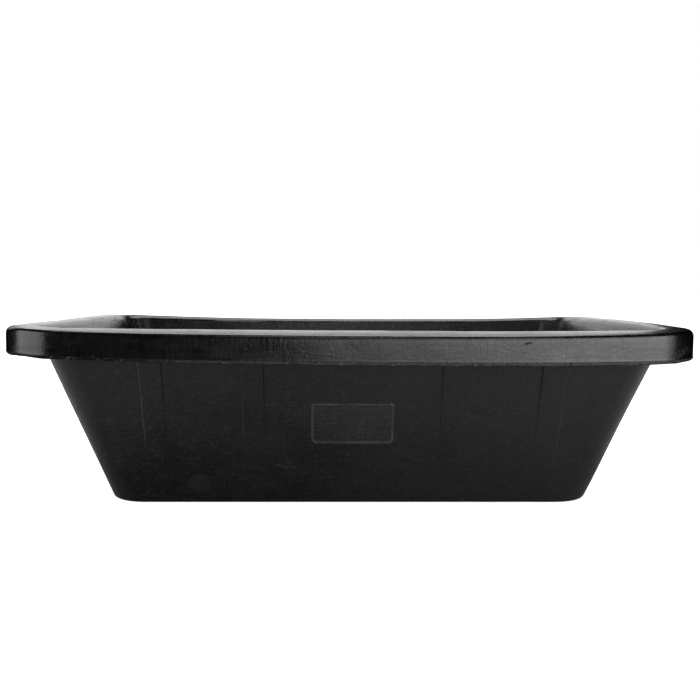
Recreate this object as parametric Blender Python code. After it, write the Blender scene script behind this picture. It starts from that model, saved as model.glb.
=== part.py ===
"""A rectangular rubber tub for mixing and carrying mortar.

The tub is a shallow pan with four sloping walls, a wide rim that turns out and down all the way
round as a hand grip, raised bands that stiffen the walls and keep nested tubs from jamming, and a
blank plate in the middle of the front wall.

Frame: metres, +Z up, X along the tub's length, the front wall towards -Y. The origin is the centre
of the flat underside, so the tub stands on Z = 0.
"""

import math

import bmesh
import bpy

# Driving dimensions, in metres.
LENGTH = 0.700  # over the rim, along X
WIDTH = 0.460  # over the rim, along Y
HEIGHT = 0.191  # at the rim's four corners
FRONT_SAG = 0.0011  # how far the middle of the front wall's top hangs below the corners
REAR_SAG = 0.0056  # and of the rear wall's
RIGHT_END_BOW = 0.0027  # how far the middle of the right end's top stands above the corners
BEND_STARTS = 0.060  # height below which the walls are straight
RIM_DROOP = 0.0045  # how much further the long rims' outer edges hang in the middle

RIM_CORNER_RADIUS = 0.065  # seen from above
RIM_OVERHANG = 0.0265  # from the wall's outer face to the rim's outer face, at the rim's top
RIM_THICKNESS = 0.005
RIM_DEPTH = 0.028  # how far the rim turns down
RIM_TOP_RADIUS = 0.007
RIM_FOOT_RADIUS = 0.0032  # outer edge at the bottom of the rim's apron
RIM_LIP_RADIUS = 0.0065  # where the rim's top rolls over into the pan

WALL_THICKNESS = 0.005
FLOOR_THICKNESS = 0.006
DRAFT = 0.330  # how far the walls lean in for each metre of depth
BOTTOM_RADIUS = 0.010  # outer edge between wall and floor

BAND_PITCH = 0.102  # between neighbouring bands of a wall
LONG_WALL_BANDS = (-2, -1, 1, 2)  # places along the wall, in pitches from its middle
END_WALL_BANDS = (-0.6, 0.6)
BAND_TOP_WIDTH = 0.024
BAND_FOOT_WIDTH = 0.020
BAND_TOP_RISE = 0.0028  # how far a band stands out of the wall under the rim
BAND_FOOT_RISE = 0.0006
BAND_SIDE_SLOPE = 0.0006  # how much narrower a band's face is than its base, each side
BAND_FOOT_HEIGHT = 0.038

PLATE_LENGTH = 0.086
PLATE_HEIGHT = 0.046
PLATE_CENTRE_HEIGHT = 0.0915
PLATE_CORNER_RADIUS = 0.006
PLATE_RISE = 0.0012

GAP = 0.0003  # left between two pieces that lie on each other

# How finely the outline is divided.
CORNER_STEPS = 8
LONG_SIDE_STEPS = 10
END_STEPS = 4
ARC_STEPS = 5
HOLLOW_STEPS = 3
WALL_STEPS = 5
BAND_STEPS = 6
SHARP_ANGLE = math.radians(35)

HALF_LENGTH = LENGTH / 2
HALF_WIDTH = WIDTH / 2
WALL_ACROSS = WALL_THICKNESS * math.hypot(1, DRAFT)  # the leaning wall's thickness, measured level
ROOT_INSET = RIM_OVERHANG + DRAFT * RIM_THICKNESS  # from the rim's outer face to the wall under it
RIM_WIDTH = ROOT_INSET + WALL_ACROSS
MOUTH_HALF_WIDTH = HALF_WIDTH - RIM_WIDTH
LEAN = math.degrees(math.atan(DRAFT))  # of the walls, from upright
OUTER_CORNER_RADIUS = RIM_CORNER_RADIUS - ROOT_INSET  # between two walls, seen from above
INNER_CORNER_RADIUS = RIM_CORNER_RADIUS - RIM_WIDTH


def clear_scene():
    for obj in list(bpy.data.objects):
        bpy.data.objects.remove(obj, do_unlink=True)


def rubber(name, colour, roughness):
    material = bpy.data.materials.new(name)
    material.use_nodes = True
    shader = material.node_tree.nodes["Principled BSDF"]
    shader.inputs["Base Color"].default_value = (*colour, 1.0)
    shader.inputs["Roughness"].default_value = roughness
    shader.inputs["Metallic"].default_value = 0.0
    return material


def smooth_step(value):
    share = min(1.0, max(0.0, value))
    return share * share * (3 - 2 * share)


def settled(x, y, z):
    """The point as the soft tub stands: its long sides sag, and their rims droop outwards."""
    along = max(0.0, 1 - (x / HALF_LENGTH) ** 2)
    outward = max(0.0, 1 - (HALF_WIDTH - abs(y)) / RIM_WIDTH)
    across = min(1.0, abs(y) / MOUTH_HALF_WIDTH) ** 4
    sag = (REAR_SAG if y > 0 else FRONT_SAG) * along * across
    bow = RIGHT_END_BOW * (1 - (y / HALF_WIDTH) ** 2) * smooth_step(x / HALF_LENGTH) ** 2
    upward = smooth_step((z - BEND_STARTS) / (HEIGHT - RIM_DEPTH - BEND_STARTS))
    droop = RIM_DROOP * (1 - abs(x / HALF_LENGTH) ** 3) * outward
    return (x, y, z + (bow - sag) * upward - droop)


def side_points(start, end, steps):
    """Points strictly between two corners' ends."""
    return [
        tuple(a + (b - a) * step / steps for a, b in zip(start, end))
        for step in range(1, steps)
    ]


def outline(inset, radius):
    """A rounded rectangle, this far inside the rim's outer face, counterclockwise from above."""
    x = HALF_LENGTH - inset - radius
    y = HALF_WIDTH - inset - radius
    corners = []
    for quarter, (centre_x, centre_y) in enumerate(((x, y), (-x, y), (-x, -y), (x, -y))):
        turns = [math.radians(90 * (quarter + step / CORNER_STEPS)) for step in range(CORNER_STEPS + 1)]
        corners.append([(centre_x + radius * math.cos(t), centre_y + radius * math.sin(t)) for t in turns])
    points = []
    for index, corner in enumerate(corners):
        following = corners[(index + 1) % 4]
        steps = LONG_SIDE_STEPS if index % 2 == 0 else END_STEPS
        points += corner + side_points(corner[-1], following[0], steps)
    return points


def arc(centre_inset, centre_z, radius, first, last, steps=ARC_STEPS):
    """(inset, z) points round a centre. Angle 0 points inward and 90 degrees up."""
    angles = [math.radians(first + (last - first) * step / steps) for step in range(steps + 1)]
    return [(centre_inset + radius * math.cos(a), centre_z + radius * math.sin(a)) for a in angles]


def wall_inset(z):
    """How far inside the rim's outer face the wall's outer face is, at this height."""
    return RIM_OVERHANG + DRAFT * (HEIGHT - z)


def edge_arc(radius, floor_z, offset):
    """The round edge between floor and wall: (inset, z) points from the floor up to the wall.

    offset is the horizontal distance from the wall's outer face inwards.
    """
    centre_z = floor_z + radius
    centre_inset = wall_inset(centre_z) + offset + radius * math.hypot(1, DRAFT)
    return arc(centre_inset, centre_z, radius, 270, 180 + LEAN)


def wall_rise(bottom, top_z, offset):
    """(inset, z) points up a wall from bottom, an (inset, z) point, to top_z."""
    start_z = bottom[1]
    heights = [start_z + (top_z - start_z) * step / WALL_STEPS for step in range(1, WALL_STEPS + 1)]
    return [(wall_inset(z) + offset, z) for z in heights]


def pan_profile():
    """The pan's section, from under the floor up the outside and down the inside to the floor."""
    top_z = HEIGHT - RIM_THICKNESS - GAP
    outer = edge_arc(BOTTOM_RADIUS, 0.0, 0.0)
    outer += wall_rise(outer[-1], top_z, 0.0)
    inner = edge_arc(BOTTOM_RADIUS - WALL_THICKNESS, FLOOR_THICKNESS, WALL_ACROSS)
    inner += wall_rise(inner[-1], top_z, WALL_ACROSS)
    return outer, inner[::-1]


def rim_profile():
    """The rim's section as a closed loop: over the top from the pan, down the apron and back under."""
    under = HEIGHT - RIM_THICKNESS
    foot = HEIGHT - RIM_DEPTH
    lip_z = HEIGHT - RIM_LIP_RADIUS
    lip_inset = wall_inset(lip_z) + WALL_ACROSS - RIM_LIP_RADIUS * math.hypot(1, DRAFT)
    lip = arc(lip_inset, lip_z, RIM_LIP_RADIUS, LEAN, 90)
    shoulder = arc(RIM_TOP_RADIUS, HEIGHT - RIM_TOP_RADIUS, RIM_TOP_RADIUS, 90, 180)
    foot_edge = arc(RIM_FOOT_RADIUS, foot + RIM_FOOT_RADIUS, RIM_FOOT_RADIUS, 180, 270)
    hollow_radius = RIM_TOP_RADIUS - RIM_THICKNESS
    hollow = arc(RIM_TOP_RADIUS, HEIGHT - RIM_TOP_RADIUS, hollow_radius, 180, 90, HOLLOW_STEPS)
    return lip + shoulder + foot_edge + [(RIM_THICKNESS, foot)] + hollow + [(RIM_WIDTH, under)]


def loop_at(mesh, inset, z, radius):
    return [mesh.verts.new(settled(x, y, z)) for x, y in outline(inset, radius)]


def skin(mesh, lower, upper):
    """Quads between two loops with the same number of points."""
    count = len(lower)
    for index in range(count):
        following = (index + 1) % count
        mesh.faces.new((lower[index], lower[following], upper[following], upper[index]))


def object_from(mesh, name, material):
    bmesh.ops.recalc_face_normals(mesh, faces=mesh.faces)
    data = bpy.data.meshes.new(name)
    mesh.to_mesh(data)
    mesh.free()
    data.shade_smooth()
    data.set_sharp_from_angle(angle=SHARP_ANGLE)
    data.materials.append(material)
    obj = bpy.data.objects.new(name, data)
    bpy.context.scene.collection.objects.link(obj)
    return obj


def make_pan(material):
    outer, inner = pan_profile()
    mesh = bmesh.new()
    loops = [loop_at(mesh, inset, z, OUTER_CORNER_RADIUS) for inset, z in outer]
    loops += [loop_at(mesh, inset, z, INNER_CORNER_RADIUS) for inset, z in inner]
    for lower, upper in zip(loops, loops[1:]):
        skin(mesh, lower, upper)
    mesh.faces.new(loops[0][::-1])
    mesh.faces.new(loops[-1])
    return object_from(mesh, "pan", material)


def make_rim(material):
    mesh = bmesh.new()
    loops = [loop_at(mesh, inset, z, RIM_CORNER_RADIUS - inset) for inset, z in rim_profile()]
    for lower, upper in zip(loops, loops[1:] + loops[:1]):
        skin(mesh, lower, upper)
    return object_from(mesh, "rim", material)


def on_wall(facing, along, rise, z):
    """The point this far out of a wall's outer face; facing is the wall's outward direction."""
    half = HALF_LENGTH if facing[0] else HALF_WIDTH
    out = half - wall_inset(z) + rise
    if facing[0]:
        return settled(facing[0] * out, facing[0] * along, z)
    return settled(-facing[1] * along, facing[1] * out, z)


def make_band(name, facing, middle, material):
    """A raised band, widest and thickest under the rim and all but flush at its foot."""
    top_z = HEIGHT - RIM_THICKNESS - GAP
    mesh = bmesh.new()
    loops = []
    for step in range(BAND_STEPS + 1):
        share = step / BAND_STEPS
        z = BAND_FOOT_HEIGHT + (top_z - BAND_FOOT_HEIGHT) * share
        half = (BAND_FOOT_WIDTH + (BAND_TOP_WIDTH - BAND_FOOT_WIDTH) * share) / 2
        rise = BAND_FOOT_RISE + (BAND_TOP_RISE - BAND_FOOT_RISE) * share
        section = (
            (-half, GAP),
            (half, GAP),
            (half - BAND_SIDE_SLOPE, rise),
            (-half + BAND_SIDE_SLOPE, rise),
        )
        loops.append([mesh.verts.new(on_wall(facing, middle + u, r, z)) for u, r in section])
    for lower, upper in zip(loops, loops[1:]):
        skin(mesh, lower, upper)
    mesh.faces.new(loops[0][::-1])
    mesh.faces.new(loops[-1])
    return object_from(mesh, name, material)


def make_plate(material):
    """The blank raised plate in the middle of the front wall."""
    across = PLATE_LENGTH / 2 - PLATE_CORNER_RADIUS
    up = PLATE_HEIGHT / 2 - PLATE_CORNER_RADIUS
    ring = []
    centres = ((across, up), (-across, up), (-across, -up), (across, -up))
    for quarter, (centre_x, centre_z) in enumerate(centres):
        for step in range(ARC_STEPS + 1):
            angle = math.radians(90 * (quarter + step / ARC_STEPS))
            x = centre_x + PLATE_CORNER_RADIUS * math.cos(angle)
            ring.append((x, centre_z + PLATE_CORNER_RADIUS * math.sin(angle)))
    mesh = bmesh.new()
    loops = []
    for rise in (GAP, PLATE_RISE):
        loops.append([mesh.verts.new(on_wall((0, -1), u, rise, PLATE_CENTRE_HEIGHT + v)) for u, v in ring])
    skin(mesh, loops[0], loops[1])
    mesh.faces.new(loops[0][::-1])
    mesh.faces.new(loops[1])
    return object_from(mesh, "front_plate", material)


def main():
    clear_scene()
    dull = rubber("dull_black_rubber", (0.018, 0.018, 0.019), 0.60)
    polished = rubber("polished_black_rubber", (0.014, 0.014, 0.014), 0.30)
    worn = rubber("worn_grey_rubber", (0.060, 0.060, 0.062), 0.50)
    make_pan(dull)
    make_rim(polished)
    for wall, facing, places in (
        ("front", (0, -1), LONG_WALL_BANDS),
        ("rear", (0, 1), LONG_WALL_BANDS),
        ("left", (-1, 0), END_WALL_BANDS),
        ("right", (1, 0), END_WALL_BANDS),
    ):
        for number, place in enumerate(places, start=1):
            make_band(f"{wall}_band_{number}", facing, place * BAND_PITCH, dull)
    make_plate(worn)


main()
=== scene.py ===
import math

import bmesh
import bpy
import numpy as np
from mathutils import Matrix, Vector


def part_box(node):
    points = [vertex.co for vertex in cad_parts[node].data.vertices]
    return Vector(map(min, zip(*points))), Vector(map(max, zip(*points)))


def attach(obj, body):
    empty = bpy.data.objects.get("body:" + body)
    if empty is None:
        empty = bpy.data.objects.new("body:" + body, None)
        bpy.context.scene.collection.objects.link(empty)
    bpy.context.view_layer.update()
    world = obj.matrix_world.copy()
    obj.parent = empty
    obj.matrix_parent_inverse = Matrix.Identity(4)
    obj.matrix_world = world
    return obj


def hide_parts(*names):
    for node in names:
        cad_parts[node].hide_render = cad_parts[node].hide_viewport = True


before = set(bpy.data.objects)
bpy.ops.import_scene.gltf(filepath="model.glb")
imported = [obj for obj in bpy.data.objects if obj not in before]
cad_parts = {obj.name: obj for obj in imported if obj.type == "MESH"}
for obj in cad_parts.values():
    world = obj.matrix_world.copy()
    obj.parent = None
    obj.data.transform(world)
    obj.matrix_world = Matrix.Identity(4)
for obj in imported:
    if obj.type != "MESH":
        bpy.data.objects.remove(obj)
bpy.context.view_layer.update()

# ---------------------------------------------------------------------------------------------
# Sizes, in metres. The outer ones come from the frame. The section's are the part's own, except
# for the lip, the edges of the floor and the rear sag, which follow the photo more closely.
# ---------------------------------------------------------------------------------------------
RIM_LOW, RIM_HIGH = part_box("rim")
HALF_LENGTH = (RIM_HIGH.x - RIM_LOW.x) / 2
HALF_WIDTH = (RIM_HIGH.y - RIM_LOW.y) / 2
HEIGHT = 0.191  # at the rim's corners

RIM_CORNER_RADIUS = 0.065  # seen from above
RIM_OVERHANG = 0.0265  # from the wall's outer face to the rim's outer face, at the rim's top
RIM_THICKNESS = 0.005
RIM_DEPTH = 0.028  # how far the rim turns down
SHOULDER_RADIUS = 0.007  # between the rim's top and its apron
LIP_RADIUS = 0.0085  # where the rim's top rolls over into the pan
WALL_THICKNESS = 0.005
FLOOR_THICKNESS = 0.006
BOTTOM_RADIUS = 0.0052  # outer edge between wall and floor
INNER_BOTTOM_RADIUS = 0.005
DRAFT = 0.330  # how far the walls lean in for each metre of depth
FRONT_SAG = 0.0011  # how far the middle of the front wall's top hangs below the corners
REAR_SAG = 0.0042  # and of the rear wall's
RIGHT_END_BOW = 0.0027  # how far the middle of the right end's top stands above the corners
BEND_STARTS = 0.060  # height below which the walls are straight
RIM_DROOP = 0.0045  # how much further the long rims' outer edges hang in the middle
RIGHT_BULGE_FOOT = 0.0010  # how far the right end wall stands out at its foot
RIGHT_BULGE_TOP = 0.0023  # and how much more it would at the rim's height
BULGE_FADES = (0.158, 0.184)  # the heights between which that bulge fades out
BULGE_BUILDS_UP = (0.10, 0.25)  # and how far along the tub it builds up

WALL_ACROSS = WALL_THICKNESS * math.hypot(1, DRAFT)  # the leaning wall's thickness, measured level
ROOT_INSET = RIM_OVERHANG + DRAFT * RIM_THICKNESS  # from the rim's outer face to the wall under it
RIM_WIDTH = ROOT_INSET + WALL_ACROSS
OUTER_CORNER_RADIUS = RIM_CORNER_RADIUS - ROOT_INSET
INNER_CORNER_RADIUS = RIM_CORNER_RADIUS - RIM_WIDTH
UNDER_RIM = HEIGHT - RIM_THICKNESS
MOUTH_HALF_WIDTH = HALF_WIDTH - RIM_WIDTH
LEAN = math.degrees(math.atan(DRAFT))  # of the walls, from upright

# The moulded details that only the looks need.
MM = 0.001
CROWN = 0.0004  # how far the rim's top bulges
FLASH_HEIGHT = 0.0030  # the trimmed strip along the foot of the apron, called flash
FLASH_RISE = 0.00028  # how far it stands out
FLASH_EDGE = 0.0006  # its roughness fades in from this far above its top to this far below
FLASH_REACH = 0.0052  # how far in from the apron's face its roughness reaches
FLASH_LEDGE = 0.0008  # the height over which it steps out from the apron
FOOT_RADIUS = 0.0016  # of the apron's outer bottom edge
ROOT_FILLET = 0.0045  # between the underside of the rim and the wall
APRON_EXTRA = 0.0006  # the apron is this much deeper than the part's
UNEVEN_DEPTH = 0.0018  # and this much deeper still at the right end, and shallower at the left

# Along the long sides the rim's shoulder turns tightly at first and then eases into the apron.
TIGHT_RADIUS = 0.0029
EASE_ANGLE = 9.0  # how many of its 90 degrees are left to the easy part
LONG_SIDE_NORMALS = (0.35, 0.95)  # how squarely an edge faces front or rear as it becomes one

# Uneven surfaces: (height in metres, wavelength in metres, random seed).
SLOW_WAVE = (0.30 * MM, 0.160, 3)
QUICK_WAVE = (0.06 * MM, 0.045, 4)
SLOW_WAVE_STARTS = 0.05  # height below which the slow wave dies away towards the flat foot
FLASH_WAVES = ((0.22 * MM, 0.020, 11), (0.22 * MM, 0.007, 12), (0.30 * MM, 0.090, 13))
FLASH_BULGE = (0.16 * MM, 0.012, 14)

# How finely the outline and the sections are divided.
CORNER_STEPS = 26
LONG_SIDE_STEPS = 128
END_STEPS = 76
TURN_STEPS = 12
EASE_STEPS = 6
APRON_STEPS = 9
LIP_STEPS = 14
TOP_STEPS = 8
FILLET_STEPS = 7
WALL_STEPS = 40
BOTTOM_STEPS = 14
INNER_BOTTOM_STEPS = 12

# Edges sharper than this are shaded as edges.
SHARP_DEGREES = 40
RIM_SHARP_DEGREES = 50


# ---------------------------------------------------------------------------------------------
# Shape
# ---------------------------------------------------------------------------------------------
def smooth_step(value):
    """0 up to 0 and 1 from 1 on, easing in and out in between."""
    share = np.clip(value, 0.0, 1.0)
    return share * share * (3 - 2 * share)


def between(value, low, high):
    """0 below low and 1 above high, with a smooth step from one to the other."""
    return smooth_step((value - low) / (high - low))


def ripple(points, wavelength, seed, waves=14):
    """A smooth random field between about -1 and 1 whose hills are about one wavelength apart."""
    random = np.random.default_rng(seed)
    points = np.asarray(points, float)
    total = np.zeros(len(points))
    for _ in range(waves):
        direction = random.normal(size=points.shape[1])
        direction /= np.linalg.norm(direction)
        length = wavelength * random.uniform(0.6, 1.6)
        total += np.sin(points @ direction * (2 * math.pi / length) + random.uniform(0, 2 * math.pi))
    return total / math.sqrt(waves)


def outline(inset, radius):
    """A rounded rectangle, this far inside the rim's outer face, counterclockwise from above."""
    x = HALF_LENGTH - inset - radius
    y = HALF_WIDTH - inset - radius
    corners = []
    for quarter, centre in enumerate(((x, y), (-x, y), (-x, -y), (x, -y))):
        turn = (quarter + np.arange(CORNER_STEPS + 1) / CORNER_STEPS) * (math.pi / 2)
        corners.append(np.array(centre) + radius * np.column_stack((np.cos(turn), np.sin(turn))))
    runs = []
    for index, corner in enumerate(corners):
        following = corners[(index + 1) % 4]
        steps = LONG_SIDE_STEPS if index % 2 == 0 else END_STEPS
        share = (np.arange(1, steps) / steps)[:, None]
        runs += [corner, corner[-1] * (1 - share) + following[0] * share]
    return np.vstack(runs)


def arc(centre_inset, centre_z, radius, first, last, steps):
    """(inset, z) points round a centre. Angle 0 points inward and 90 degrees up."""
    angle = np.radians(np.linspace(first, last, steps + 1))
    return [(centre_inset + radius * math.cos(a), centre_z + radius * math.sin(a)) for a in angle]


def line(start, end, steps):
    """(inset, z) points after start, up to end."""
    share = (np.arange(1, steps + 1) / steps)[:, None]
    return [tuple(p) for p in np.array(start) * (1 - share) + np.array(end) * share]


def wall_inset(z):
    """How far inside the rim's outer face the wall's outer face is, at this height."""
    return RIM_OVERHANG + DRAFT * (HEIGHT - z)


def edge_arc(radius, floor_z, offset, steps):
    """The round edge between floor and wall, from the floor up to the wall."""
    centre_z = floor_z + radius
    centre_inset = wall_inset(centre_z) + offset + radius * math.hypot(1, DRAFT)
    return arc(centre_inset, centre_z, radius, 270, 180 + LEAN, steps)


def outer_section():
    """(inset, z) points up the outside of the pan, from its flat underside to below the rim."""
    points = edge_arc(BOTTOM_RADIUS, 0.0, 0.0, BOTTOM_STEPS)
    return points + line(points[-1], (ROOT_INSET, UNDER_RIM), WALL_STEPS)


def inner_section():
    """(inset, z) points down the inside of the pan, from below the rim's lip to the floor."""
    points = edge_arc(INNER_BOTTOM_RADIUS, FLOOR_THICKNESS, WALL_ACROSS, INNER_BOTTOM_STEPS)
    return (points + line(points[-1], (RIM_WIDTH, UNDER_RIM), WALL_STEPS))[::-1]


def shoulder(tight):
    """The rim's outer top edge: a quarter circle, or a tight turn that eases into the apron."""
    foot = HEIGHT - SHOULDER_RADIUS
    if not tight:
        return arc(SHOULDER_RADIUS, foot, SHOULDER_RADIUS, 90, 180, TURN_STEPS + EASE_STEPS)
    ease = math.radians(EASE_ANGLE)
    easy_radius = (SHOULDER_RADIUS - TIGHT_RADIUS * (1 - math.sin(ease))) / math.sin(ease)
    centre = easy_radius * (1 - math.cos(ease)) + TIGHT_RADIUS * math.cos(ease)
    turn = arc(centre, HEIGHT - TIGHT_RADIUS, TIGHT_RADIUS, 90, 180 - EASE_ANGLE, TURN_STEPS)
    return turn + arc(easy_radius, foot, easy_radius, 180 - EASE_ANGLE, 180, EASE_STEPS)[1:]


def rim_section(tight):
    """The rim's section as a closed loop, from inside the pan over the top and down the apron."""
    foot = HEIGHT - RIM_DEPTH
    lip_z = HEIGHT - LIP_RADIUS
    lip_inset = wall_inset(lip_z) + WALL_ACROSS - LIP_RADIUS * math.hypot(1, DRAFT)
    points = [(RIM_WIDTH, UNDER_RIM)]
    points += arc(lip_inset, lip_z, LIP_RADIUS, LEAN, 90, LIP_STEPS)
    turn = shoulder(tight)
    top = line(points[-1], turn[0], TOP_STEPS)
    for step, (inset, z) in enumerate(top, 1):
        points.append((inset, z + CROWN * math.sin(math.pi * step / TOP_STEPS)))
    points += turn[1:]
    flash_top = foot + FLASH_HEIGHT
    points += line(points[-1], (0.0, flash_top + FLASH_LEDGE), APRON_STEPS)
    points += [(-0.3 * FLASH_RISE, flash_top + 0.0003), (-FLASH_RISE, flash_top)]
    points += line(points[-1], (-0.3 * FLASH_RISE, foot + FOOT_RADIUS), 4)
    points += arc(FOOT_RADIUS - 0.0002, foot + FOOT_RADIUS, FOOT_RADIUS, 190, 262, 5)
    points += [(2 * FOOT_RADIUS, foot), (0.0046, foot + 0.0002), (RIM_THICKNESS, foot + 0.0012)]
    hollow_z = HEIGHT - SHOULDER_RADIUS
    points += line(points[-1], (RIM_THICKNESS, hollow_z), 7)
    points += arc(SHOULDER_RADIUS, hollow_z, SHOULDER_RADIUS - RIM_THICKNESS, 180, 90, 6)[1:]
    points += line(points[-1], (ROOT_INSET - ROOT_FILLET, UNDER_RIM), 5)
    start = np.array(points[-1])
    corner = np.array((ROOT_INSET, UNDER_RIM))
    end = np.array((wall_inset(UNDER_RIM - ROOT_FILLET), UNDER_RIM - ROOT_FILLET))
    for share in np.arange(1, FILLET_STEPS + 1) / FILLET_STEPS:
        bent = start * (1 - share) ** 2 + 2 * corner * share * (1 - share) + end * share**2
        points.append(tuple(bent))
    points.append((end[0] + 0.0015, end[1] + 0.0005))
    return np.array(points)


def settled(points):
    """The points as the soft tub stands: its long sides sag, and their rims droop outwards."""
    points = np.array(points, float)
    x, y, z = points.T
    along = np.clip(1 - (x / HALF_LENGTH) ** 2, 0.0, None)
    outward = np.clip(1 - (HALF_WIDTH - np.abs(y)) / RIM_WIDTH, 0.0, None)
    across = np.clip(np.abs(y) / MOUTH_HALF_WIDTH, 0.0, 1.0) ** 4
    sag = np.where(y > 0, REAR_SAG, FRONT_SAG) * along * across
    bow = RIGHT_END_BOW * (1 - (y / HALF_WIDTH) ** 2) * smooth_step(x / HALF_LENGTH) ** 2
    upward = between(z, BEND_STARTS, HEIGHT - RIM_DEPTH)
    droop = RIM_DROOP * np.clip(1 - np.abs(x / HALF_LENGTH) ** 3, 0.0, None) * outward
    points[:, 2] += (bow - sag) * upward - droop
    return points


def bulged(points):
    """The wall's points as they settle, with the right end standing out a little below the rim."""
    x, _, z = np.array(points, float).T
    below_rim = 1 - between(z, *BULGE_FADES)
    to_the_right = between(x, *BULGE_BUILDS_UP)
    bulge = (RIGHT_BULGE_FOOT + RIGHT_BULGE_TOP * z / HEIGHT) * below_rim * to_the_right
    points = settled(points)
    points[:, 0] += bulge
    return points


def unevenly_trimmed(points):
    """The rim's points with its apron deeper at the right end than at the left."""
    points = np.array(points, float)
    x, _, z = points.T
    extra = APRON_EXTRA + UNEVEN_DEPTH * (x / HALF_LENGTH)
    stretch = 1 + extra / (RIM_DEPTH - RIM_THICKNESS)
    points[:, 2] = np.where(z < UNDER_RIM, UNDER_RIM - (UNDER_RIM - z) * stretch, z)
    return points


def wave(points, height, wavelength, seed):
    return height * ripple(points, wavelength, seed)


def waviness(points):
    """How far the surface stands off its true shape, in metres: soft rubber is never flat."""
    height = np.clip(points[:, 2] / SLOW_WAVE_STARTS, 0.0, 1.0)
    return wave(points, *SLOW_WAVE) * height + wave(points, *QUICK_WAVE)


def grid_faces(rows, columns, closed_rows):
    """Quads between rows of points that each go round the tub. Closed rows also join last to first."""
    last = rows if closed_rows else rows - 1
    faces = []
    for row in range(last):
        above = (row + 1) % rows
        for column in range(columns):
            following = (column + 1) % columns
            faces.append((row * columns + column, row * columns + following,
                          above * columns + following, above * columns + column))
    return faces


def new_piece(name, vertices, faces, material, sharp_degrees=SHARP_DEGREES):
    """A closed piece with its faces pointing out, shaded smoothly except at sharp edges."""
    mesh = bpy.data.meshes.new(name)
    mesh.from_pydata([tuple(v) for v in vertices], [], [tuple(f) for f in faces])
    work = bmesh.new()
    work.from_mesh(mesh)
    bmesh.ops.recalc_face_normals(work, faces=work.faces)
    work.to_mesh(mesh)
    work.free()
    mesh.shade_smooth()
    mesh.set_sharp_from_angle(angle=math.radians(sharp_degrees))
    mesh.materials.append(material)
    piece = bpy.data.objects.new(name, mesh)
    bpy.context.scene.collection.objects.link(piece)
    return piece


def set_attribute(piece, name, values):
    """Stores a value at each vertex for the material to read."""
    attribute = piece.data.attributes.new(name, "FLOAT", "POINT")
    attribute.data.foreach_set("value", values.astype(np.float32))


def ring_normals(rows):
    """Outward normals of rows of points, as an array of the same shape."""
    around = np.roll(rows, -1, axis=1) - np.roll(rows, 1, axis=1)
    up = np.empty_like(rows)
    up[1:-1] = rows[2:] - rows[:-2]
    up[0] = rows[1] - rows[0]
    up[-1] = rows[-1] - rows[-2]
    normal = np.cross(around, up)
    length = np.linalg.norm(normal, axis=2, keepdims=True)
    return normal / np.maximum(length, 1e-12)


def roughened(rows):
    """Rows of points pushed along their normals by the waviness."""
    shift = waviness(rows.reshape(-1, 3)).reshape(rows.shape[:2])
    return rows + ring_normals(rows) * shift[:, :, None]


def rows_of(section, radius_of):
    """The section carried round the tub: a row of points for each of its own."""
    return np.array([
        np.column_stack((outline(inset, radius_of(inset)), np.full(COLUMNS, z)))
        for inset, z in section
    ])


COLUMNS = len(outline(0.0, RIM_CORNER_RADIUS))
FLOOR_SHARES = (0.86, 0.70, 0.54, 0.38, 0.22, 0.08)  # rings that close the floor, towards its middle
FLAT_FOOT = 0.0002  # the underside stays flat up to this height


def floor_rows(edge):
    """Ever smaller copies of a floor's outline, from its edge to the middle."""
    return np.array([edge * (share, share, 1.0) for share in FLOOR_SHARES])


def make_pan(material):
    """The floor and walls: up the outside, over the wall's hidden top and down the inside."""
    outer = rows_of(outer_section(), lambda inset: OUTER_CORNER_RADIUS)
    inner = rows_of(inner_section(), lambda inset: INNER_CORNER_RADIUS)
    outside = np.concatenate((floor_rows(outer[0])[::-1], outer))
    inside = np.concatenate((inner, floor_rows(inner[-1])))
    rows = np.concatenate((outside, inside))
    rows = bulged(rows.reshape(-1, 3)).reshape(rows.shape)
    count = len(outside)
    shaped = np.concatenate((roughened(rows[:count]), roughened(rows[count:])))
    flat = rows[:, :, 2] < FLAT_FOOT
    shaped[flat] = rows[flat]
    shaped[:, :, 2] = np.maximum(shaped[:, :, 2], 0.0)
    under_rim = [count - 1, count]
    shaped[under_rim] = rows[under_rim]
    faces = grid_faces(len(rows), COLUMNS, False)
    faces.append(range(COLUMNS)[::-1])
    faces.append(range((len(rows) - 1) * COLUMNS, len(rows) * COLUMNS))
    return new_piece("pan_moulding", shaped.reshape(-1, 3), faces, material)


def make_rim(material):
    """The rim, with a tighter shoulder along the long sides and a ragged foot to its apron."""
    section = rim_section(False)
    round_rows = rows_of(section, lambda inset: RIM_CORNER_RADIUS - inset)
    tight_rows = rows_of(rim_section(True), lambda inset: RIM_CORNER_RADIUS - inset)
    normal = ring_normals(round_rows)[len(section) // 2]
    long_side = between(np.abs(normal[:, 1]), *LONG_SIDE_NORMALS)[None, :, None]
    rows = round_rows * (1 - long_side) + tight_rows * long_side
    rows = settled(unevenly_trimmed(rows.reshape(-1, 3))).reshape(rows.shape)
    shaped = roughened(rows)

    insets, heights = section.T
    below = HEIGHT - RIM_DEPTH + FLASH_HEIGHT + FLASH_EDGE - heights
    flash = np.where(insets < FLASH_REACH, smooth_step(below / (2 * FLASH_EDGE)), 0.0)
    around = round_rows[0]
    ragged = sum(wave(around, *one) for one in FLASH_WAVES)
    weight = flash * smooth_step(below / FLASH_HEIGHT)
    shaped[:, :, 2] += weight[:, None] * ragged[None, :]
    bulge = wave(around, *FLASH_BULGE)
    shaped += ring_normals(rows) * (flash[:, None] * bulge[None, :])[:, :, None]
    shaped[0] = rows[0]
    faces = grid_faces(len(rows), COLUMNS, True)
    piece = new_piece("rim_moulding", shaped.reshape(-1, 3), faces, material, RIM_SHARP_DEGREES)
    set_attribute(piece, "flash", np.repeat(flash, COLUMNS))
    return piece


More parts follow.
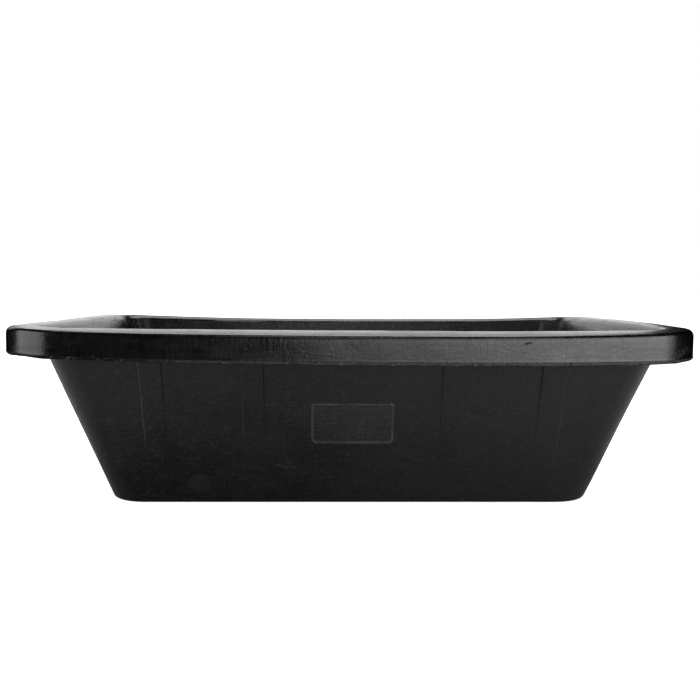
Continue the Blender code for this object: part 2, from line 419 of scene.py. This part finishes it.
# ---------------------------------------------------------------------------------------------
# Raised details on the walls
# ---------------------------------------------------------------------------------------------
SLOPE_STEP = 0.0005  # over which the wall's slope is measured
OUTER = np.array(outer_section())
OUTER_REACH = np.concatenate(([0.0], np.cumsum(np.linalg.norm(np.diff(OUTER, axis=0), axis=1))))


def reach_at(z):
    """How far up the outside of the wall, along its surface, this height is."""
    return float(np.interp(z, OUTER[:, 1], OUTER_REACH))


def section_at(reach):
    """The wall's inset and height this far up it."""
    return np.array([np.interp(reach, OUTER_REACH, OUTER[:, axis]) for axis in (0, 1)])


def on_wall(facing, along, reach, rise):
    """Points on a wall's outside, this far along it, up it and out of it; arrays of equal length."""
    inset, z = section_at(reach)
    d_inset, d_z = section_at(reach + SLOPE_STEP) - section_at(reach - SLOPE_STEP)
    length = np.hypot(d_inset, d_z)
    half = HALF_LENGTH if facing[0] else HALF_WIDTH
    out = half - inset + rise * d_z / length
    up = z + rise * d_inset / length
    if facing[0]:
        points = np.column_stack((facing[0] * out, facing[0] * along, up))
        outward = np.array((facing[0], 0.0, 0.0))
    else:
        points = np.column_stack((-facing[1] * along, facing[1] * out, up))
        outward = np.array((0.0, facing[1], 0.0))
    points = bulged(points)
    return points + outward * waviness(points)[:, None]


def patch(name, facing, grid_along, grid_reach, grid_rise, material, grid_wear_and_highlight):
    """A raised patch of wall: a grid of points, and its back sunk into the wall."""
    rows, columns = grid_along.shape
    count = rows * columns
    points = on_wall(facing, grid_along.ravel(), grid_reach.ravel(), grid_rise.ravel())
    back = on_wall(facing, grid_along.ravel(), grid_reach.ravel(), np.full(count, -PATCH_DEPTH))
    faces = []
    for row in range(rows - 1):
        for column in range(columns - 1):
            first = row * columns + column
            face = (first, first + 1, first + columns + 1, first + columns)
            faces.append(face)
            faces.append(tuple(index + count for index in face[::-1]))
    border = [(0, column) for column in range(columns)]
    border += [(row, columns - 1) for row in range(1, rows)]
    border += [(rows - 1, column) for column in range(columns - 2, -1, -1)]
    border += [(row, 0) for row in range(rows - 2, 0, -1)]
    indices = [row * columns + column for row, column in border]
    for first, second in zip(indices, indices[1:] + indices[:1]):
        faces.append((first, second, second + count, first + count))
    piece = new_piece(name, np.vstack((points, back)), faces, material)
    set_attribute(piece, "wear_and_highlight", np.concatenate((grid_wear_and_highlight.ravel(), np.zeros(count))))
    return piece


PATCH_DEPTH = 2.0 * MM  # how far a patch's back is sunk

BAND_TOP_RISE = 0.0026
BAND_FOOT_RISE = -0.0002  # its foot runs out into the wall
BAND_TOP_WIDTH = 0.0240
BAND_FOOT_WIDTH = 0.020
BAND_FOOT_HEIGHT = 0.034
BAND_ROWS = 60
BAND_TUCK = 0.04 * MM  # how much deeper an edge is sunk than its share of the rise says
WIDE_BAND = "front_band_4"
WIDE_BAND_EXTRA = 0.0025  # this one reaches further towards the middle
# Across a band's edge: the distance outside the band's face, and the share of its rise.
BAND_EDGE = (
    (0.0016, -0.30),
    (0.0008, -0.02),
    (0.0003, 0.22),
    (-0.0003, 0.86),
    (-0.0008, 0.97),
    (-0.0020, 1.0),
)
OUTERMOST_BAND = 0.204  # how far from the middle of its wall the outermost band stands
BAND_HIGHLIGHT_LEFT = 1.0  # how pale its outer edge is painted: a painted highlight
BAND_HIGHLIGHT_RIGHT = 0.35


def make_band(name, facing, middle, material):
    """A raised band that is thickest under the rim and runs out into the wall at its foot."""
    reach = np.linspace(reach_at(BAND_FOOT_HEIGHT), reach_at(UNDER_RIM - MM), BAND_ROWS)
    share = (reach - reach[0]) / (reach[-1] - reach[0])
    half = (BAND_FOOT_WIDTH + (BAND_TOP_WIDTH - BAND_FOOT_WIDTH) * share) / 2
    rise = BAND_FOOT_RISE + (BAND_TOP_RISE - BAND_FOOT_RISE) * share**0.8
    extra = WIDE_BAND_EXTRA if name.startswith(WIDE_BAND) else 0.0
    left = [(-(half + extra + out), part) for out, part in BAND_EDGE]
    right = [(half + out, part) for out, part in BAND_EDGE[::-1]]
    middle_lines = [(half * offset, 1.0) for offset in (-0.5, 0.0, 0.5)]
    lines = left + middle_lines + right
    grid_along = np.column_stack([middle + along for along, _ in lines])
    grid_rise = np.column_stack([rise * part + BAND_TUCK * (part - 1) for _, part in lines])
    grid_reach = np.repeat(reach[:, None], len(lines), axis=1)
    # The outer edges of the outer bands are painted paler: a painted highlight where they turn towards
    # the side lights, strongest on the left.
    strength = abs(middle / OUTERMOST_BAND) ** 1.3 * (BAND_HIGHLIGHT_LEFT if middle < 0 else BAND_HIGHLIGHT_RIGHT)
    pale_edge = np.array([0.2 < part < 0.9 and along.mean() * middle > 0 for along, part in lines])
    wear_and_highlight = strength * np.outer(smooth_step(share * 1.6), pale_edge)
    return patch(name, facing, grid_along, grid_reach, grid_rise, material, wear_and_highlight)


PLATE_CORNER_RADIUS = 0.006
PLATE_MARGIN = 0.0012  # how far its mesh goes on past its edge, inside the wall
PLATE_SUNK = 0.35 * MM  # how deep the margin lies
PLATE_RISE = 1.25 * MM  # of its border, above the margin
PLATE_RECESS = 0.40 * MM  # how much lower the field inside the border is
PLATE_EDGE = (-0.0004, 0.0005)  # from these distances inside its outline, the border rises
PLATE_FIELD = (0.0026, 0.0032)  # and here it falls to the field
PLATE_WEAR = 0.55  # how pale the border is worn
PLATE_COLUMNS = 150
PLATE_ROWS = 54


def make_plate(material):
    """A blank raised plate in the middle of the front wall, with a fine border."""
    low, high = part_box("front_plate")
    half_length = (high.x - low.x) / 2
    half_height = (high.z - low.z) * math.hypot(1, DRAFT) / 2
    across = np.linspace(-half_length - PLATE_MARGIN, half_length + PLATE_MARGIN, PLATE_COLUMNS)
    upward = np.linspace(-half_height - PLATE_MARGIN, half_height + PLATE_MARGIN, PLATE_ROWS)
    grid_along, grid_up = np.meshgrid(across, upward)
    outside_x = np.abs(grid_along) - (half_length - PLATE_CORNER_RADIUS)
    outside_y = np.abs(grid_up) - (half_height - PLATE_CORNER_RADIUS)
    outer = np.hypot(np.maximum(outside_x, 0), np.maximum(outside_y, 0))
    inside = PLATE_CORNER_RADIUS - (outer + np.minimum(np.maximum(outside_x, outside_y), 0))
    rise = -PLATE_SUNK + PLATE_RISE * between(inside, *PLATE_EDGE)
    rise -= PLATE_RECESS * between(inside, *PLATE_FIELD)
    border = between(inside, -0.0004, 0.0002) * (1 - between(inside, 0.0024, 0.0032))
    grid_along += (low.x + high.x) / 2
    grid_up += reach_at((low.z + high.z) / 2)
    wear_and_highlight = PLATE_WEAR * border
    return patch("front_plate_blank", (0, -1), grid_along, grid_up, rise, material, wear_and_highlight)


# ---------------------------------------------------------------------------------------------
# Materials
# ---------------------------------------------------------------------------------------------
class Tree:
    """A material's node tree, with short calls for the nodes used here."""

    def __init__(self, name):
        self.material = bpy.data.materials.new(name)
        self.material.use_nodes = True
        self.nodes = self.material.node_tree.nodes
        self.links = self.material.node_tree.links
        self.shader = self.nodes["Principled BSDF"]
        self.place = self.nodes.new("ShaderNodeTexCoord").outputs["Object"]

    def put(self, value, socket):
        """Links another node's output to a socket, or sets the socket to a constant."""
        if isinstance(value, bpy.types.NodeSocket):
            self.links.new(value, socket)
        else:
            socket.default_value = value

    def stretched(self, scale):
        """Object coordinates scaled along each axis, for a streaky noise."""
        node = self.nodes.new("ShaderNodeMapping")
        self.put(self.place, node.inputs["Vector"])
        node.inputs["Scale"].default_value = scale
        return node.outputs["Vector"]

    def noise(self, scale, detail, roughness=0.5, distortion=0.0, place=None):
        node = self.nodes.new("ShaderNodeTexNoise")
        self.put(place or self.place, node.inputs["Vector"])
        node.inputs["Scale"].default_value = scale
        node.inputs["Detail"].default_value = detail
        node.inputs["Roughness"].default_value = roughness
        node.inputs["Distortion"].default_value = distortion
        return node.outputs["Fac"]

    def ranged(self, value, low, high, to_low=0.0, to_high=1.0):
        """to_low up to low and to_high from high on, with a smooth step in between."""
        node = self.nodes.new("ShaderNodeMapRange")
        node.interpolation_type = "SMOOTHSTEP"
        self.put(value, node.inputs["Value"])
        node.inputs["From Min"].default_value = low
        node.inputs["From Max"].default_value = high
        node.inputs["To Min"].default_value = to_low
        node.inputs["To Max"].default_value = to_high
        return node.outputs["Result"]

    def maths(self, operation, first, second):
        node = self.nodes.new("ShaderNodeMath")
        node.operation = operation
        self.put(first, node.inputs[0])
        self.put(second, node.inputs[1])
        return node.outputs["Value"]

    def times(self, first, second):
        return self.maths("MULTIPLY", first, second)

    def plus(self, first, second):
        return self.maths("ADD", first, second)

    def mixed(self, share, first, second):
        node = self.nodes.new("ShaderNodeMix")
        node.data_type = "RGBA"
        self.put(share, node.inputs["Factor"])
        self.put(first, node.inputs["A"])
        self.put(second, node.inputs["B"])
        return node.outputs["Result"]

    def bumped(self, height, strength, distance, normal=None):
        """The normal with a relief added to it; the distance is the relief's depth in metres."""
        node = self.nodes.new("ShaderNodeBump")
        self.put(height, node.inputs["Height"])
        node.inputs["Strength"].default_value = strength
        node.inputs["Distance"].default_value = distance
        if normal is not None:
            self.put(normal, node.inputs["Normal"])
        return node.outputs["Normal"]

    def attribute(self, name):
        node = self.nodes.new("ShaderNodeAttribute")
        node.attribute_name = name
        return node.outputs["Fac"]

    def spot(self, centre, reach, slant=0.0, soft=0.25):
        """1 at a point and 0 past its reach along each axis; slant leans it over sideways."""
        local = self.nodes.new("ShaderNodeMapping")
        local.vector_type = "TEXTURE"
        self.put(self.place, local.inputs["Vector"])
        local.inputs["Location"].default_value = centre
        local.inputs["Rotation"].default_value = (0.0, slant, 0.0)
        local.inputs["Scale"].default_value = reach
        node = self.nodes.new("ShaderNodeVectorMath")
        node.operation = "LENGTH"
        self.put(local.outputs["Vector"], node.inputs[0])
        return self.ranged(node.outputs["Value"], 1.0 - soft, 1.0, 1.0, 0.0)

    def either(self, masks):
        """The largest of several masks."""
        total = masks[0]
        for mask in masks[1:]:
            total = self.maths("MAXIMUM", total, mask)
        return total

    def spots(self, marks, soft):
        """A mask of several marks."""
        return self.either([self.spot(*mark, soft=soft) for mark in marks])

    def facing_up(self):
        """1 where the surface faces up and -1 where it faces down."""
        node = self.nodes.new("ShaderNodeSeparateXYZ")
        self.put(self.nodes.new("ShaderNodeNewGeometry").outputs["Normal"], node.inputs["Vector"])
        return node.outputs["Z"]

    def coordinates(self):
        """The place's X, Y and Z."""
        node = self.nodes.new("ShaderNodeSeparateXYZ")
        self.put(self.place, node.inputs["Vector"])
        return node.outputs


def grey(value, warmth=0.0):
    """A near-neutral colour; warmth above 0 is browner and below 0 bluer."""
    return (value * (1 + warmth), value, value * (1 - warmth), 1.0)


# Marks left by moulding and use: (centre, reach along x, y and z, how far each leans over).
MOULD_MARK = ((-0.161, -0.148, 0.0227), (0.0125, 0.03, 0.0118))
WALL_SCUFFS = (
    ((-0.070, -0.150, 0.043), (0.019, 0.04, 0.0016), 0.10),
    ((-0.052, -0.150, 0.034), (0.010, 0.04, 0.0012), -0.30),
    ((0.050, -0.150, 0.060), (0.013, 0.04, 0.0010), 0.35),
    ((0.120, 0.150, 0.070), (0.030, 0.04, 0.0014), -0.20),
    ((-0.180, 0.150, 0.110), (0.017, 0.04, 0.0012), 0.40),
    ((0.295, 0.060, 0.080), (0.05, 0.022, 0.0016), 0.0),
    ((-0.300, -0.070, 0.120), (0.05, 0.015, 0.0014), 0.0),
)
RIM_SCUFFS = (
    ((0.1665, -0.230, 0.1790), (0.0058, 0.02, 0.0013), -0.20),
    ((-0.010, -0.230, 0.1835), (0.0070, 0.02, 0.0010), 0.15),
    ((-0.120, 0.230, 0.1750), (0.0120, 0.02, 0.0008), 0.25),
    ((0.350, 0.040, 0.1700), (0.02, 0.011, 0.0009), 0.0),
)
RIM_SPOTS = (
    ((-0.321, 0.070, 0.188), (0.0045, 0.0060, 0.006), 0.0),
    ((-0.318, 0.126, 0.187), (0.0040, 0.0050, 0.006), 0.0),
    ((-0.322, -0.045, 0.188), (0.0035, 0.0070, 0.006), 0.0),
    ((0.321, 0.002, 0.191), (0.0045, 0.0060, 0.006), 0.0),
    ((0.322, -0.105, 0.190), (0.0040, 0.0080, 0.006), 0.0),
)
RIM_CHAFES = (
    ((0.322, -0.215, 0.170), (0.016, 0.03, 0.0075), -0.30),
    ((-0.330, 0.215, 0.170), (0.014, 0.03, 0.0050), 0.40),
)
CREASE_LEAN = 0.32  # follows the wall's lean
CORNER_CREASES = (
    ((-0.3045, 0.195, 0.182), (0.0020, 0.03, 0.060), -CREASE_LEAN),
    ((0.3045, 0.195, 0.182), (0.0020, 0.03, 0.060), CREASE_LEAN),
)


# Reflectances of the walls' rubber, of what lies on it and of the painted sheen and highlight. All are
# low: most of the look is gloss.
WALL_BLACK = 0.0022
WALL_BLOOM = 0.0046
# Colour of the painted sheen that makes the walls paler towards the right end.
WALL_RIGHT_SHEEN = 0.0110
WALL_WIPES = 0.0095
WALL_LEVELS = 0.0130
WALL_MOTTLE = 0.0190
WALL_MOULD_MARK = 0.0110
WALL_SCUFF = 0.030
WALL_SPECKS = 0.06
WALL_WORN_AND_HIGHLIT = 0.050

# And of the rim's.
RIM_BLACK = 0.0008
RIM_BLOOM = 0.0018
# Colour of the painted sheen in smears over the rim's right half.
RIM_RIGHT_SHEEN = 0.018
RIM_NICKS = 0.045
RIM_FOOT = 0.010
RIM_FLECKS = 0.070
RIM_CHAFED = 0.080

WALL_GLOSS = 0.30  # specular level; 0.5 is clean polymer
PLATE_GLOSS = 0.36
PLATE_TONE = 1.5  # how much paler the plate is than the walls
RIM_GLOSS = 0.5
CREASE_GLOSS = 0.06
SCUFF_GLOSS = 0.08


def dull_rubber(name, tone=1.0, gloss_level=WALL_GLOSS):
    """Moulded black rubber with a grey bloom, wipe marks, scuffs and specks of dust."""
    t = Tree(name)
    place = t.coordinates()
    clouds = t.noise(7.0, 4.0, 0.55, 0.6)
    blotches = t.noise(34.0, 5.0, 0.6, 0.3)
    mottle = t.noise(330.0, 3.0, 0.7, 0.4)
    wipes = t.noise(1.0, 4.0, 0.6, 0.2, t.stretched((70.0, 70.0, 7.0)))
    levels = t.noise(1.0, 4.0, 0.7, 0.3, t.stretched((55.0, 55.0, 420.0)))
    mould_mark = t.spot(*MOULD_MARK, soft=0.08)
    scuffs = t.times(t.spots(WALL_SCUFFS, soft=0.9), t.ranged(mottle, 0.35, 0.60))
    crease = t.spots(CORNER_CREASES, soft=0.6)
    inside = t.ranged(t.facing_up(), 0.05, 0.25)

    bloom = t.ranged(t.plus(t.times(clouds, 0.6), t.times(blotches, 0.4)), 0.44, 0.62)
    colour = t.mixed(bloom, grey(WALL_BLACK * tone), grey(WALL_BLOOM * tone, -0.05))
    # Painted sheen: the walls are painted paler towards the right end, standing in for the brighter
    # gloss reflection there.
    right_sheen = t.ranged(place["X"], -0.20, 0.30)
    colour = t.mixed(t.times(right_sheen, 0.75), colour, grey(WALL_RIGHT_SHEEN * tone, 0.02))
    colour = t.mixed(t.ranged(wipes, 0.52, 0.78, 0.0, 0.45), colour, grey(WALL_WIPES * tone, -0.03))
    colour = t.mixed(t.ranged(levels, 0.46, 0.74, 0.0, 0.45), colour, grey(WALL_LEVELS * tone))
    colour = t.mixed(t.ranged(mottle, 0.50, 0.72, 0.0, 0.6), colour, grey(WALL_MOTTLE * tone))
    colour = t.mixed(t.times(mould_mark, 0.5), colour, grey(WALL_MOULD_MARK * tone, -0.04))
    colour = t.mixed(t.times(scuffs, 0.6), colour, grey(WALL_SCUFF))
    specks = t.ranged(t.noise(420.0, 2.0, 0.6), 0.72, 0.77)
    specks = t.times(specks, t.ranged(t.noise(23.0, 2.0), 0.48, 0.60))
    colour = t.mixed(t.times(specks, 0.5), colour, grey(WALL_SPECKS * tone, 0.05))
    # The plate's border is worn paler, and the bands' outer edges are painted paler as a painted
    # highlight.
    pale_edge = t.times(t.attribute("wear_and_highlight"), t.ranged(wipes, 0.30, 0.62, 0.3, 1.0))
    colour = t.mixed(pale_edge, colour, grey(WALL_WORN_AND_HIGHLIT))
    t.put(colour, t.shader.inputs["Base Color"])

    roughness = t.ranged(blotches, 0.35, 0.68, 0.29, 0.38)
    roughness = t.plus(roughness, t.ranged(levels, 0.3, 0.7, -0.04, 0.05))
    roughness = t.maths("SUBTRACT", roughness, t.times(inside, 0.10))
    roughness = t.plus(roughness, t.times(scuffs, 0.12))
    roughness = t.plus(roughness, t.times(mould_mark, 0.04))
    t.put(roughness, t.shader.inputs["Roughness"])

    gloss = t.ranged(t.times(inside, crease), 0.0, 1.0, gloss_level, CREASE_GLOSS)
    low_down = t.ranged(place["Z"], 0.025, 0.120, 0.30, 0.0)
    rubbed = t.times(low_down, t.ranged(place["X"], -0.08, 0.14, 1.0, 0.0))
    gloss = t.times(gloss, t.maths("SUBTRACT", 1.0, rubbed))
    t.put(gloss, t.shader.inputs["Specular IOR Level"])

    normal = t.bumped(t.noise(26.0, 2.0, 0.5), 0.30, 0.0008)
    normal = t.bumped(levels, 0.60, 0.0005, normal)
    normal = t.bumped(mottle, 0.75, 0.0003, normal)
    normal = t.bumped(t.noise(900.0, 2.0, 0.6), 0.25, 0.0001, normal)
    normal = t.bumped(mould_mark, 0.30, 0.0003, normal)
    normal = t.bumped(crease, 0.80, 0.0010, normal)
    t.put(normal, t.shader.inputs["Normal"])
    return t.material


def rim_rubber(name):
    """The rim: the same rubber, handled smooth, with scuffs, a painted sheen in pale smears over its
    right half and a rough trimmed foot.
    """
    t = Tree(name)
    along = t.coordinates()["X"]
    flash = t.attribute("flash")
    clouds = t.noise(9.0, 4.0, 0.55, 0.5)
    pores = t.noise(300.0, 3.0, 0.6)
    bits = t.noise(260.0, 3.0, 0.7)
    smears = t.noise(1.0, 4.0, 0.65, 0.8, t.stretched((16.0, 16.0, 60.0)))
    grain = t.noise(1.0, 3.0, 0.6, 0.0, t.stretched((300.0, 300.0, 50.0)))
    nicks = t.ranged(t.noise(130.0, 2.0, 0.6, 1.5), 0.71, 0.76)
    nicks = t.times(nicks, t.ranged(t.noise(17.0, 2.0), 0.56, 0.68))
    flecks = t.times(flash, t.ranged(bits, 0.56, 0.68))
    pits = t.times(flash, t.ranged(bits, 0.32, 0.44, 1.0, 0.0))
    scuffs = t.times(t.spots(RIM_SCUFFS, soft=0.7), t.ranged(pores, 0.42, 0.56))
    chafed = t.ranged(t.noise(240.0, 3.0, 0.7, 2.5), 0.54, 0.64)
    chafed = t.times(t.spots(RIM_CHAFES, soft=0.7), chafed)

    colour = t.mixed(t.ranged(clouds, 0.40, 0.66), grey(RIM_BLACK, -0.10), grey(RIM_BLOOM, -0.10))
    # Painted sheen: pale smears over the rim's right half, stopping short of the right corner, standing
    # in for the lighter reflection there.
    right_sheen = t.times(t.ranged(along, -0.05, 0.25), t.ranged(along, 0.295, 0.315, 1.0, 0.0))
    right_sheen = t.times(right_sheen, t.ranged(smears, 0.44, 0.70))
    colour = t.mixed(t.times(right_sheen, 0.60), colour, grey(RIM_RIGHT_SHEEN, 0.30))
    colour = t.mixed(t.times(nicks, 0.35), colour, grey(RIM_NICKS, 0.08))
    pale_foot = t.times(flash, t.ranged(along, -0.27, -0.06, 0.0, 0.6))
    colour = t.mixed(pale_foot, colour, grey(RIM_FOOT, 0.03))
    colour = t.mixed(t.times(flecks, 0.65), colour, grey(RIM_FLECKS, 0.05))
    colour = t.mixed(t.times(chafed, 0.8), colour, grey(RIM_CHAFED))
    t.put(colour, t.shader.inputs["Base Color"])

    roughness = t.ranged(smears, 0.30, 0.72, 0.18, 0.29)
    roughness = t.plus(roughness, t.ranged(grain, 0.3, 0.7, -0.02, 0.03))
    roughness = t.plus(roughness, t.times(flash, 0.22))
    roughness = t.plus(roughness, t.times(nicks, 0.2))
    t.put(roughness, t.shader.inputs["Roughness"])

    grimy_foot = t.times(flash, t.ranged(along, -0.26, -0.08, 0.9, 0.0))
    dull = t.either([scuffs, t.spots(RIM_SPOTS, soft=0.6), t.times(pits, 0.8), grimy_foot])
    t.put(t.ranged(dull, 0.0, 1.0, RIM_GLOSS, SCUFF_GLOSS), t.shader.inputs["Specular IOR Level"])

    normal = t.bumped(t.noise(30.0, 2.0, 0.5), 0.25, 0.0006)
    normal = t.bumped(pores, 0.55, 0.0002, normal)
    normal = t.bumped(grain, 0.36, 0.0002, normal)
    normal = t.bumped(smears, 0.30, 0.0006, normal)
    normal = t.bumped(t.plus(nicks, scuffs), 0.5, -0.0003, normal)
    normal = t.bumped(bits, 0.3, 0.0002, normal)
    normal = t.bumped(t.maths("SUBTRACT", flecks, pits), 0.7, 0.0004, normal)
    t.put(normal, t.shader.inputs["Normal"])
    return t.material


# ---------------------------------------------------------------------------------------------
# The pieces
# ---------------------------------------------------------------------------------------------
def add(piece, slot, *nodes):
    """Puts a piece in place of the CAD nodes that it shows."""
    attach(piece, "root")
    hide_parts(*nodes)


FACINGS = {"front": (0, -1), "rear": (0, 1), "left": (-1, 0), "right": (1, 0)}


def make_tub():
    wall = dull_rubber("dull_black_rubber")
    plate = dull_rubber("worn_black_rubber", PLATE_TONE, PLATE_GLOSS)
    add(make_pan(wall), "dull_rubber", "pan")
    add(make_rim(rim_rubber("handled_black_rubber")), "rim_rubber", "rim")
    add(make_plate(plate), "plate_rubber", "front_plate")
    for node in sorted(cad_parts):
        if "_band_" not in node:
            continue
        facing = FACINGS[node.split("_")[0]]
        low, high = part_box(node)
        centre = (low + high) / 2
        along = centre.y * facing[0] if facing[0] else -centre.x * facing[1]
        add(make_band(node + "_moulding", facing, along, wall), "band_rubber", node)


# ---------------------------------------------------------------------------------------------
# Studio
# ---------------------------------------------------------------------------------------------
FLOOR_HALF = 40.0
FLOOR_REFLECTANCE = 0.80
FLOOR_GLOW = 0.72  # brings the floor up to the backdrop's white
BOUNCE_HALF = 0.9
BOUNCE_REFLECTANCE = 0.36
BOUNCE_DEPTH = 0.0004  # how far under the floor it lies


def plain_material(name, reflectance, glow):
    material = bpy.data.materials.new(name)
    material.use_nodes = True
    shader = material.node_tree.nodes["Principled BSDF"]
    shader.inputs["Base Color"].default_value = grey(reflectance)
    shader.inputs["Roughness"].default_value = 1.0
    shader.inputs["Specular IOR Level"].default_value = 0.0
    shader.inputs["Emission Color"].default_value = (1.0, 1.0, 1.0, 1.0)
    shader.inputs["Emission Strength"].default_value = glow
    return material


def make_floor(name, half, z, material):
    mesh = bpy.data.meshes.new(name)
    corners = [(-half, -half, z), (half, -half, z), (half, half, z), (-half, half, z)]
    mesh.from_pydata(corners, [], [(0, 1, 2, 3)])
    mesh.materials.append(material)
    floor = bpy.data.objects.new(name, mesh)
    bpy.context.scene.collection.objects.link(floor)
    return floor


def make_floors():
    """A pale floor that is only seen, and just under it a smaller grey one that only bounces light."""
    pale = plain_material("pale_floor", FLOOR_REFLECTANCE, FLOOR_GLOW)
    seen = make_floor("floor", FLOOR_HALF, 0.0, pale)
    seen.visible_diffuse = False
    seen.visible_glossy = False
    seen.visible_shadow = False
    darker = plain_material("floor_bounce", BOUNCE_REFLECTANCE, 0.0)
    bounce = make_floor("floor_bounce", BOUNCE_HALF, -BOUNCE_DEPTH, darker)
    bounce.visible_camera = False


def softbox(name, place, target, size, radiance):
    """A soft rectangular light; radiance is what it looks like in a mirror."""
    light = bpy.data.lights.new(name, "AREA")
    light.shape = "RECTANGLE"
    light.size, light.size_y = size
    light.energy = radiance * math.pi * size[0] * size[1]
    lamp = bpy.data.objects.new(name, light)
    bpy.context.scene.collection.objects.link(lamp)
    lamp.location = place
    direction = lamp.location - Vector(target)
    lamp.rotation_euler = direction.to_track_quat("Z", "Y").to_euler()


def make_world():
    """White all round for soft light, but not mirrored: only the softboxes show in the gloss."""
    world = bpy.data.worlds.new("white_studio")
    world.use_nodes = True
    background = world.node_tree.nodes["Background"]
    background.inputs["Color"].default_value = (1.0, 1.0, 1.0, 1.0)
    background.inputs["Strength"].default_value = 1.0
    world.cycles_visibility.glossy = False
    bpy.context.scene.world = world


def make_lights():
    """Each is placed where the photo shows its reflection in the rubber."""
    softbox("overhead", (0.0, 0.28, 1.30), (0.0, 0.28, 0.0), (1.24, 1.05), 5.0)
    softbox("backdrop", (0.01, 2.60, 0.90), (0.01, 0.0, 0.90), (2.80, 1.90), 1.25)
    softbox("left", (-1.64, -0.79, 0.35), (-0.17, 0.0, 0.15), (1.58, 0.90), 2.7)
    softbox("rear_left", (-1.35, 1.45, 0.90), (0.20, 0.10, 0.15), (1.00, 0.70), 1.0)
    softbox("front_right", (1.34, -1.49, 0.26), (0.50, -0.13, 0.26), (1.95, 0.64), 2.4)
    softbox("front_wide", (0.90, -1.87, 0.26), (0.07, -0.19, 0.26), (2.17, 0.64), 2.6)
    softbox("front_high", (-0.03, -1.17, 1.17), (-0.01, 0.21, 0.17), (0.40, 0.40), 3.4)


CAMERA_PLACE = (0.0017, -1.0178, 0.2295)  # as if the tub's front were square to the camera
CAMERA_TILT = 0.0732  # down from the level, in radians
CAMERA_ROLL = 0.0074
CAMERA_TURN = 0.0291  # how far round the tub the camera stands, clockwise from above
CAMERA_LENS = 42.51  # in millimetres
CAMERA_SENSOR = 36.0


def make_camera():
    camera = bpy.data.cameras.new("camera")
    camera.lens = CAMERA_LENS
    camera.sensor_width = CAMERA_SENSOR
    camera.dof.use_dof = False
    stand = bpy.data.objects.new("camera", camera)
    bpy.context.scene.collection.objects.link(stand)
    turned = Matrix.Rotation(-CAMERA_TURN, 4, "Z")
    square_on = Matrix.Translation(CAMERA_PLACE) @ Matrix.Rotation(math.pi / 2 - CAMERA_TILT, 4, "X")
    rolled = Matrix.Rotation(CAMERA_ROLL, 4, "Z")
    stand.matrix_world = turned @ square_on @ rolled
    bpy.context.scene.camera = stand


make_tub()
make_floors()
make_world()
make_lights()
make_camera()
bpy.context.scene.view_settings.view_transform = "Standard"
